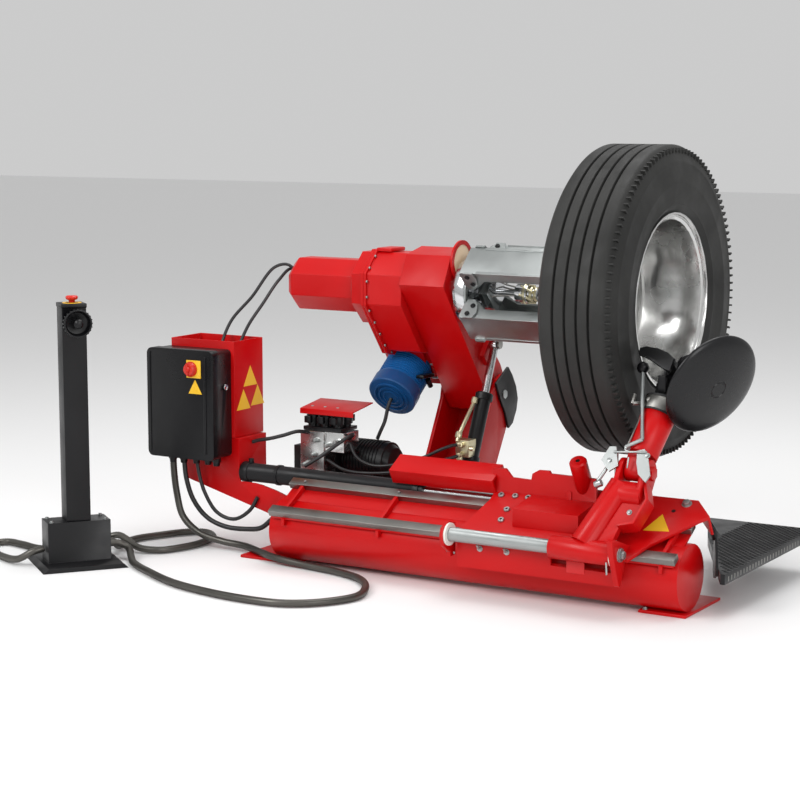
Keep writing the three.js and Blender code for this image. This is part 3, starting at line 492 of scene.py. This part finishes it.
# %% [markdown]
# ## Jaws and chuck
# Two cheek plates hold each jaw on its slide, and two black screws hold each cheek. The face plate has a raised ring,
# a row of cap screws and the hose union that turns with it.

# %% jaws and chuck
for i in range(4):
    turn = Matrix.Translation(SPIN) @ Matrix.Rotation(math.pi / 4 + i * math.pi / 2, 4, "X")
    bm = bmesh.new()
    screws = bmesh.new()
    for v, out in ((-61, -1), (61, 1)):
        outline = [(-1027, 150), (-1010, 176), (-975, 176), (-966, 150), (-975, 114), (-992, 93), (-1022, 93)]
        plate(bm, [turn @ mm(x, y, v) for x, y in outline], turn.to_3x3() @ mm(0, 0, out * 7))
        for x, y in ((-1000, 158), (-990, 122)):
            rod(screws, turn @ mm(x, y, v + out * 6), turn @ mm(x, y, v + out * 11), 9)
    slab(bm, mm(-966, 168, -62), mm(-616, 172, -50), 0.001, turn)
    slab(bm, mm(-966, 168, 50), mm(-616, 172, 62), 0.001, turn)
    show(f"jaw_cheeks_{i + 1}", bm, zinc, f"jaw{i + 1}")
    show(f"jaw_screws_{i + 1}", screws, black_paint, f"jaw{i + 1}")
bm = bmesh.new()
turned(bm, [(100, 0), (119, 0), (119, 5), (116, 7), (103, 7), (100, 5)], SPIN + mm(-1036.2, 0, 0), (1, 0, 0))
for k in range(12):
    if k % 3:
        spot = SPIN + Matrix.Rotation(2 * math.pi * (k + 1.5) / 12, 4, "X") @ mm(0, 0, 84)
        rod(bm, spot + mm(-1037, 0, 0), spot + mm(-1026, 0, 0), 8)
show("face_plate_ring", bm, zinc, "chuck")
bm = bmesh.new()
for x, r in ((-868, 30), (-846, 36), (-822, 27), (-806, 24)):
    turned(bm, [(r - 8, -6), (r, -5), (r + 2, 0), (r, 5), (r - 8, 6)], SPIN + mm(x, 0, 0), (1, 0, 0), 32)
for k in range(6):
    a, b = 2 * math.pi * k / 6, 2 * math.pi * (k + 0.7) / 6
    rod(bm, SPIN + mm(-862, 32 * math.cos(a), 32 * math.sin(a)), SPIN + mm(-812, 30 * math.cos(b), 30 * math.sin(b)), 5)
show("hose_union", bm, cream_zinc, "chuck")
bm = bmesh.new()
for a in (0.4, 1.6, 3.4):
    middle = SPIN + mm(-930, 30 * math.cos(a), 30 * math.sin(a))
    rod(bm, SPIN + mm(-966, 44 * math.cos(a), 44 * math.sin(a)), middle, 3.2, edge=0)
    rod(bm, middle, SPIN + mm(-876, 20 * math.cos(a), 20 * math.sin(a)), 3.2, edge=0)
show("feed_pipes", bm, steel, "chuck")
tell("jaws and chuck")

# %% [markdown]
# ## Gear case, motor and arm
# The case is closed by a flange with a row of cap screws that follows its outline. The motor has a darker fan cover
# with rings, a terminal box on one side and a lifting lug; the small round sign stands behind the chuck.

# %% gear case and motor
def walk(corners, gap):
    """Even places along a closed outline."""
    spots = []
    for a, b in zip(corners, [*corners[1:], corners[0]]):
        count = max(1, round((b - a).length / gap))
        spots += [a.lerp(b, (k + 0.5) / count) for k in range(count)]
    return spots


reach = 137 / math.cos(math.pi / 8)
corners = [mm(0, 480 + reach * math.cos(math.pi / 4 * (k + 0.5)), 949 + reach * math.sin(math.pi / 4 * (k + 0.5)))
           for k in range(8)]
corners += [on_case(0, 196, -138), on_case(0, 241, -101), on_case(0, 241, 125), on_case(0, 180, 138)]
flat_corners = [Vector((p.y, p.z)) for p in corners]
ring_corners = [corners[k] for k in convex_hull_2d(flat_corners)]
bm = bmesh.new()
for spot in walk(ring_corners, 0.052):
    spot.x = -1.4322
    rod(bm, spot, spot + mm(6, 0, 0), 5, sides=12, edge=0.0006)
for t, d in ((262, 108), (330, 108), (398, 100), (262, -63), (330, -63), (398, -63)):
    rod(bm, on_case(-1345, t, d * 0.9), on_case(-1318, t, d * 0.9), 6, sides=12)
show("case_screws", bm, zinc, "arm")
bm = bmesh.new()
pad = ((-1410, 232), (-1350, 232), (-1332, 268), (-1340, 330), (-1400, 340), (-1420, 290))
plate(bm, [on_case(x, t, -59) for x, t in pad], on_case(0, 0, -14) - on_case(0, 0, 0))
slab(bm, mm(-1436, 420, 1082), mm(-1372, 520, 1096), 0.004)
show("case_pads", bm, red_paint, "arm")
bm = bmesh.new()
cover = on_case(-1421, 341, -178)
way = on_case(0, 0, -1) - on_case(0, 0, 0)
turned(bm, [(87, 0), (93.5, 0), (93.5, 50), (90, 54), (0, 60), (0, 57), (87, 50)], cover, way)
for r in (30, 48, 66):
    turned(bm, [(r - 3, 56), (r - 3, 61.5), (r + 3, 60.5), (r + 3, 55)], cover, way)
show("fan_cover", bm, dark_blue, "arm")
bm = bmesh.new()
for d in range(-160, -78, 10):
    turned(bm, [(84, -1.5), (90, -1.2), (90, 1.2), (84, 1.5)], on_case(-1421, 341, d), way)
show("motor_fins", bm, blue_paint, "arm")
bm = bmesh.new()
slab(bm, on_case(-1340, 300, -150), on_case(-1306, 360, -92), 0.004)
rod(bm, on_case(-1320, 350, -120), on_case(-1320, 385, -120), 10)
show("terminal_box", bm, black_plastic, "arm")
bm = bmesh.new()
turned(bm, [(60, -4), (76, -4), (76, 4), (60, 4)], mm(-1096, 451, 1057), (1, 0, 0))
show("sign_rim", bm, red_paint, "arm")
bm = bmesh.new()
rod(bm, mm(-1098.5, 451, 1057), mm(-1093.5, 451, 1057), 60.5, sides=48)
show("sign_face", bm, cream_face, "arm")
bm = bmesh.new()
for x, side, size in ((-1110, 1, 15), (-1284, -1, 15), (-1086.6, 1, 20)):
    bolt(bm, mm(x, 747, 541), (side, 0, 0), size)
show("hinge_bolts", bm, zinc, "arm")
bm = bmesh.new()
turned(bm, [(100, 0), (104, 0), (104, 10), (100, 10), (90, 10), (90, 0)], SPIN + mm(-1510, 0, 0), (-1, 0, 0))
for k in range(8):
    spot = SPIN + Matrix.Rotation(2 * math.pi * k / 8, 4, "X") @ mm(0, 0, 60)
    rod(bm, spot + mm(-1811, 0, 0), spot + mm(-1818, 0, 0), 6)
show("cylinder_end_screws", bm, dull_red, "arm")
tell("gear case and motor")

# %% [markdown]
# ## Lift cylinder
# Steel clevis pins, a gland nut and the brass-yellow elbows that feed the manifold.

# %% lift cylinder
foot, eye = mm(-1064, 445.5, 285), mm(-1064, 647, 740.5)
lean = (eye - foot).normalized()
bm = bmesh.new()
turned(bm, [(16, 0), (33, 0), (33, 22), (30, 26), (16, 26)], foot + lean * 0.282, lean)
turned(bm, [(28, 0), (32, 0), (32, 16), (28, 16)], foot + lean * 0.05, lean)
show("gland_nut", bm, black_paint, "lift_cylinder")
bm = bmesh.new()
for low, high in (((-1090, 412, 408), (-1090, 424, 430)), ((-1090, 424, 430), (-1078, 520, 545)), ((-1078, 398, 402),
                  (-1070, 388, 402)), ((-1078, 398, 364), (-1070, 388, 364)), ((-1080, 415, 352), (-1084, 400, 322))):
    rod(bm, mm(*low), mm(*high), 7)
for spot in ((-1078, 520, 545), (-1090, 424, 430), (-1080, 415, 350)):
    rod(bm, mm(*spot) - lean * 0.01, mm(*spot) + lean * 0.012, 12, sides=6)
show("manifold_elbows", bm, cream_zinc, "lift_cylinder")
tell("lift cylinder")

# %% [markdown]
# ## Control box, bin and pedestal
# The lid has two long ridges, a yellow plate behind the rotary switch and plain yellow triangles. Cable glands hang
# under the box, and the post on the pedestal ends in a yellow ring round its red button.

# %% control box and pedestal
bm = bmesh.new()
slab(bm, mm(-1874, -61.5, 360), mm(-1862, -57, 716), 0.002)
slab(bm, mm(-2118, -60, 352), mm(-2112, -57, 722), 0.001)
for x, y in ((-2060, 0), (-2018, 10), (-1968, 20), (-1915, 20), (-1870, 10)):
    rod(bm, mm(x, y, 338), mm(x, y, 322), 17, sides=6)
    rod(bm, mm(x, y, 323), mm(x, y, 308), 14, 12)
show("box_fittings", bm, black_plastic, "base")
bm = bmesh.new()
slab(bm, mm(-1948, -61, 636), mm(-1884, -57.6, 701), 0.0015)


def triangle(middle, across, up, size):
    """A plain yellow triangle as a thin plate."""
    out = across.cross(up) * 0.0012
    tips = [middle + up * size * 0.58, middle - up * size * 0.29 - across * size * 0.5,
            middle - up * size * 0.29 + across * size * 0.5]
    plate(bm, [t - out * 0.6 for t in tips], out)


X, Y, Z = Vector((1, 0, 0)), Vector((0, 1, 0)), Vector((0, 0, 1))
triangle(mm(-1911, -58, 596), X, Z, 0.06)
for y, z in ((160, 616), (116, 532), (205, 540)):
    triangle(mm(-1822, y, z), Y, Z, 0.086)
show("yellow_plates", bm, yellow_plate, "base")
bm = bmesh.new()
turned(bm, [(0, 20), (9, 20), (10, 24), (8, 28), (0, 29)], mm(-1927, -59, 668), (0, -1, 0))
slab(bm, mm(-1930, -86, 645), mm(-1924, -80, 691), 0.002)
show("switch_bar", bm, red_plastic, "switch")
turn = math.radians(52.5)
post = Matrix.Translation(mm(-2160, -435, 0)) @ Matrix.Rotation(turn, 4, "Z")
bm = bmesh.new()
low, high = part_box("stop_button")
middle, button = (Vector(low) + Vector(high)) / 2, (high[0] - low[0]) * 500
turned(bm, [(button + 1, 0), (button + 11, 0), (button + 11, 1.6), (button + 10, 2.2), (button + 1, 2.2)],
       Vector((middle.x, middle.y, 0.9275)), (0, 0, 1))
show("pedestal_plate", bm, yellow_plate, "base")
bm = bmesh.new()
out = Vector((math.sin(turn), -math.cos(turn), 0))
seat = post @ mm(4, -40.4, 862)
for k in range(24):
    a = 2 * math.pi * k / 24
    across = (post.to_3x3() @ Vector((math.cos(a), 0, math.sin(a)))) * 0.047
    rod(bm, seat + across + out * 0.014, seat + across * 1.06 + out * 0.042, 2.4, sides=8, edge=0)
show("cup_ribs", bm, black_plastic, "base")
bm = bmesh.new()
for x, y in ((-96, -34), (96, -34), (-96, 48), (96, 48)):
    bolt(bm, post @ mm(x, y, 158), (0, 0, 1), 7)
show("pedestal_screws", bm, zinc, "base")
tell("control box and pedestal")

# %% [markdown]
# ## Power pack
# Six solenoid coils stand on the valve block. Each has a nut on top and a plug on its side; unions and a filler cap
# finish the tank.

# %% power pack
COIL_ROW = (-1640, -1585, -1530)
bm = bmesh.new()
for x in COIL_ROW:
    for y in (300, 360):
        rod(bm, mm(x, y, 499), mm(x, y, 508), 12, sides=6)
        turned(bm, [(0, 0), (7, 0), (6, 5), (0, 5)], mm(x, y, 507.5), (0, 0, 1), 16)
for x, z in ((-1640, 300), (-1600, 340), (-1590, 395), (-1500, 395), (-1540, 380)):
    rod(bm, mm(x, 251 if x < -1605 else 263, z), mm(x, 238, z), 10, sides=6)
    rod(bm, mm(x, 239, z), mm(x, 228, z), 7)
show("pack_unions", bm, zinc, "base")
bm = bmesh.new()
for x in COIL_ROW:
    slab(bm, mm(x - 14, 262, 452), mm(x + 14, 279, 478), 0.003)
    slab(bm, mm(x - 14, 382, 452), mm(x + 14, 398, 478), 0.003)
rod(bm, mm(-1700, 520, 351), mm(-1700, 520, 372), 24)
for d in range(-1545, -1400, 14):
    turned(bm, [(76, -1.6), (82, -1.3), (82, 1.3), (76, 1.6)], mm(d, 430, 300), (1, 0, 0), 40)
show("coil_plugs", bm, black_plastic, "base")
tell("power pack")

# %% [markdown]
# ## Carriage, base and footplate
# Cap screws clamp the carriage on its rails. White washers stand at both ends of the pivot shaft, and the footplate
# has a rough tread and a row of slots along its front edge.

# %% carriage and footplate
DECK_SCREWS = ((-708, 42), (-656, 44), (-606, 43), (-655, -17), (-652, -63))
bm = bmesh.new()
for x, y in DECK_SCREWS:
    spot = mm(x, y, 285 + 0.583 * y)
    turned(bm, [(4.5, 0), (11, 0), (11, 5), (9.5, 7), (4.5, 7)], spot, BED_UP, 24)
bolt(bm, mm(-56, 91, 338), BED_UP, 15)
for x in (-684, -584):
    bolt(bm, mm(x, -150.4, 165), (0, -1, 0), 9)
    rod(bm, mm(x, -156, 165), mm(x, -170, 180), 4)
bolt(bm, mm(-780, -150.4, 142), (0, -1, 0), 5, False)
rod(bm, mm(-164.4, -176, 208), mm(-160, -176, 208), 22, sides=32)
rod(bm, mm(-160.4, -176, 208), mm(-150, -176, 208), 14, sides=6)
rod(bm, mm(-196, -214, 188), mm(-190, -222, 150), 3)
show("carriage_screws", bm, zinc, "carriage")
bm = bmesh.new()
turned(bm, [(24, 0), (38, 0), (38, 7), (24, 7)], mm(-787.4, -176, 208), (1, 0, 0))
turned(bm, [(24, 0), (44, 0), (44, 2.6), (24, 2.6)], mm(-187.4, -176, 208), (1, 0, 0))
show("shaft_washers", bm, white_plastic, "carriage")
# black hexagons low in the cap screw sockets and two black discs that stand for round holes on the carriage: painted
# shade in the recesses
bm = bmesh.new()
for spot, r in ((mm(-87, 56, 318), 7), (mm(-415, 22.2, 457.8), 7)):
    rod(bm, spot - BED_UP * 0.001, spot + BED_UP * 0.0005, r, edge=0)
for x, y in DECK_SCREWS:
    spot = mm(x, y, 285 + 0.583 * y)
    rod(bm, spot + BED_UP * 0.0005, spot + BED_UP * 0.0055, 4.6, sides=6, edge=0)
show("socket_shade_discs", bm, black_paint, "carriage")
bm = bmesh.new()
slab(bm, mm(-366, -152, 124), mm(-302, -149.5, 162), 0.0005)
show("plain_plate", bm, bright_red, "carriage")
bm = bmesh.new()
out = BED_UP * 0.0012
plate(bm, [p - out * 0.5 for p in (mm(-152, -36, 264), mm(-64, -29, 268.1), mm(-117, 38, 307.2))], out)
show("deck_triangle", bm, yellow_plate, "carriage")
bm = bmesh.new()
for k in range(62):
    for j in range(9):
        x, y = 116 - j * 26 - (13 if k % 2 else 0), -14 + k * 12.9
        edge = 110 - (y + 24) * 0.498 if y < 490 else -146 - (y - 490) * 0.4
        if x > edge + 12:
            slab(bm, mm(x - 8, y - 1.6, 149.6), mm(x + 8, y + 1.6, 151.4), 0)
show("tread_bars", bm, black_paint, "carriage")
bm = bmesh.new()
for k in range(30):
    slab(bm, mm(125.2, 4 + k * 26, 122), mm(126.4, 10 + k * 26, 138), 0)
show("edge_slots", bm, steel, "carriage")
bm = bmesh.new()
for x in (-1490, -1100, -710, -320):
    bolt(bm, on_bed(x, 20, -13.2), BED_UP, 6, False)
for y in (-44, 200):
    bolt(bm, mm(-136, y, 9.6), (0, 0, 1), 9)
for x, y in ((-1700, 230), (-1500, 230), (-1296, 980), (-1034, 980), (-1034, 270)):
    bolt(bm, mm(x, y, 9.6), (0, 0, 1), 10)
show("base_bolts", bm, zinc, "base")
bm = bmesh.new()
turned(bm, [(20, 0), (33, 0), (33, 14), (30, 18), (20, 18)], mm(-1046, 88, 283), (1, 0, 0), 32)
turned(bm, [(34, 0), (37.5, 0), (37.5, 12), (34, 12)], mm(-1650, 88, 283), (1, 0, 0), 32)
rod(bm, mm(-1770, 88, 318), mm(-1770, 88, 334), 10, sides=6)
show("barrel_bands", bm, black_paint, "base")
tell("carriage and footplate")

# %% [markdown]
# ## Tool arm
# Two zinc latch hooks hang on the clevis and hold the arm folded or upright; a bent rod with a black ball releases
# them. The bead disc is a smooth black dome with one groove round its centre.

# %% tool arm
bm = bmesh.new()
plate(bm, [on_arm(x, a, 46) for x, a in ((-300, 300), (-284, 350), (-262, 352), (-250, 320), (-236, 285), (-262, 262))],
      ARM_OUT * 0.006)
plate(bm, [on_arm(x, a, 46) for x, a in ((-186, 344), (-162, 352), (-140, 318), (-118, 262), (-128, 236), (-160, 262),
                                         (-176, 300))], ARM_OUT * 0.006)
slab(bm, on_arm(-262, 262, 0), on_arm(-252, 340, 44), 0.001)
rod(bm, on_arm(-306, 218, 30), on_arm(-270, 300, 40), 6)
rod(bm, on_arm(-306, 218, 30), on_arm(-284, 228, 34), 12, sides=16)
for x, a in ((-222, 350), (-148, 330), (-270, 300)):
    bolt(bm, on_arm(x, a, 50), ARM_OUT, 9)
rod(bm, on_arm(-222, 350, 62), on_arm(-222, 350, 46), 7)
rod(bm, on_arm(-262, 330, 56), on_arm(-150, 340, 56), 4)
rod(bm, on_arm(-206, 282, 45), on_arm(-206, 316, 56), 3)
bolt(bm, on_arm(-170, 144, 12.2), ARM_OUT, 8)
show("latch_hooks", bm, zinc, "tool_arm")
bm = bmesh.new()
rod(bm, on_arm(-228, 520, 40), on_arm(-248, 510, 56), 7)
rod(bm, on_arm(-248, 508, 56), on_arm(-248, 542, 60), 7)
rod(bm, on_arm(-214, 470, 40), on_arm(-226, 350, 50), 3)
bolt(bm, on_arm(-196, 530, 54), ARM_OUT, 7)
show("turn_handle", bm, steel, "tool_arm")
bm = bmesh.new()
for a in (497, 548):
    centre = on_arm(-166 + 0.118 * (a - 560), a, 0)
    turned(bm, [(58, -2), (63.5, -2), (63.5, 3), (58, 3)], centre, (0.117, 0.584, 0.803))
show("collar_edges", bm, dark_steel, "tool_arm")
DISC, AXIS = mm(4, 148, 719), Vector((0.826, -0.412, -0.386)).normalized()
bm = bmesh.new()
dome = [(0, 24), (24, 23.8), (25.6, 22), (28.4, 22), (30, 23.7), (56, 22), (84, 18.5), (112, 13.6), (136, 8),
        (154, 2.4), (167, -4), (174, -9.5), (176, -13.5), (175, -18), (172, -19), (160, -13), (110, 0), (34, 8),
        (34, -44), (20, -44), (20, -168), (0, -168)]
turned(bm, dome, DISC, AXIS, 96)
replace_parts(show("bead_disc_dome", bm, disc_black, "disc", 40), "bead_disc")
bm = bmesh.new()
BALL = Matrix.Translation(on_arm(-245, 640, 62))
bmesh.ops.create_uvsphere(bm, u_segments=32, v_segments=20, radius=0.0205, matrix=BALL)
show("lever_ball", bm, black_plastic, "lever")
bm = bmesh.new()
slab(bm, on_arm(-178, 560, 44), on_arm(-150, 620, 60), 0.003)
rod(bm, on_arm(-200, 600, 10), on_arm(-118, 606, 10), 16)
for a in (600, 640):
    bolt(bm, on_arm(-160, a, 60 if a == 600 else 44), ARM_OUT, 8)
show("head_bracket", bm, black_paint, "tool_top")
tell("tool arm")

# %% [markdown]
# ## Floor and light
# A pale floor and a pale world keep the attention on the machine. One large soft lamp stands at the left front, a
# second fills from the right, and a strip above the machine draws the long highlights on the tubes.


# %% floor and light
def lamp(name, place, target, size, power):
    """A square soft lamp that looks at a point."""
    data = bpy.data.lights.new(name, "AREA")
    data.shape = "SQUARE"
    data.size = size
    data.energy = power
    spot = bpy.data.objects.new(name, data)
    spot.location = place
    spot.rotation_euler = (Vector(target) - Vector(place)).to_track_quat("-Z", "Y").to_euler()
    bpy.context.scene.collection.objects.link(spot)


floor_mesh = bmesh.new()
bmesh.ops.create_grid(floor_mesh, x_segments=1, y_segments=1, size=30)
floor_data = bpy.data.meshes.new("floor")
floor_mesh.to_mesh(floor_data)
floor_mesh.free()
floor = bpy.data.objects.new("floor", floor_data)
floor.location.z = -0.0005
bpy.context.scene.collection.objects.link(floor)
floor_paint = bpy.data.materials.new("pale_floor")
floor_paint.use_nodes = True
floor_shader = floor_paint.node_tree.nodes["Principled BSDF"]
floor_shader.inputs["Base Color"].default_value = (0.86, 0.86, 0.86, 1)
floor_shader.inputs["Roughness"].default_value = 0.9
floor_data.materials.append(floor_paint)

MACHINE_MIDDLE = (-1.1, 0.1, 0.6)
KEY_WATTS, FILL_WATTS, TOP_WATTS, WORLD_STRENGTH = 210, 110, 130, 0.6
lamp("key", (-3.2, -5.0, 4.6), MACHINE_MIDDLE, 3.0, KEY_WATTS)
lamp("fill", (4.2, -3.4, 2.6), MACHINE_MIDDLE, 3.0, FILL_WATTS)
lamp("top", (-0.6, 1.2, 5.2), MACHINE_MIDDLE, 3.5, TOP_WATTS)
world = bpy.data.worlds.new("studio")
world.use_nodes = True
world.node_tree.nodes["Background"].inputs["Color"].default_value = (1, 1, 1, 1)
world.node_tree.nodes["Background"].inputs["Strength"].default_value = WORLD_STRENGTH
bpy.context.scene.world = world
bpy.context.scene.view_settings.view_transform = "Standard"
print("lamps", len(bpy.data.lights))
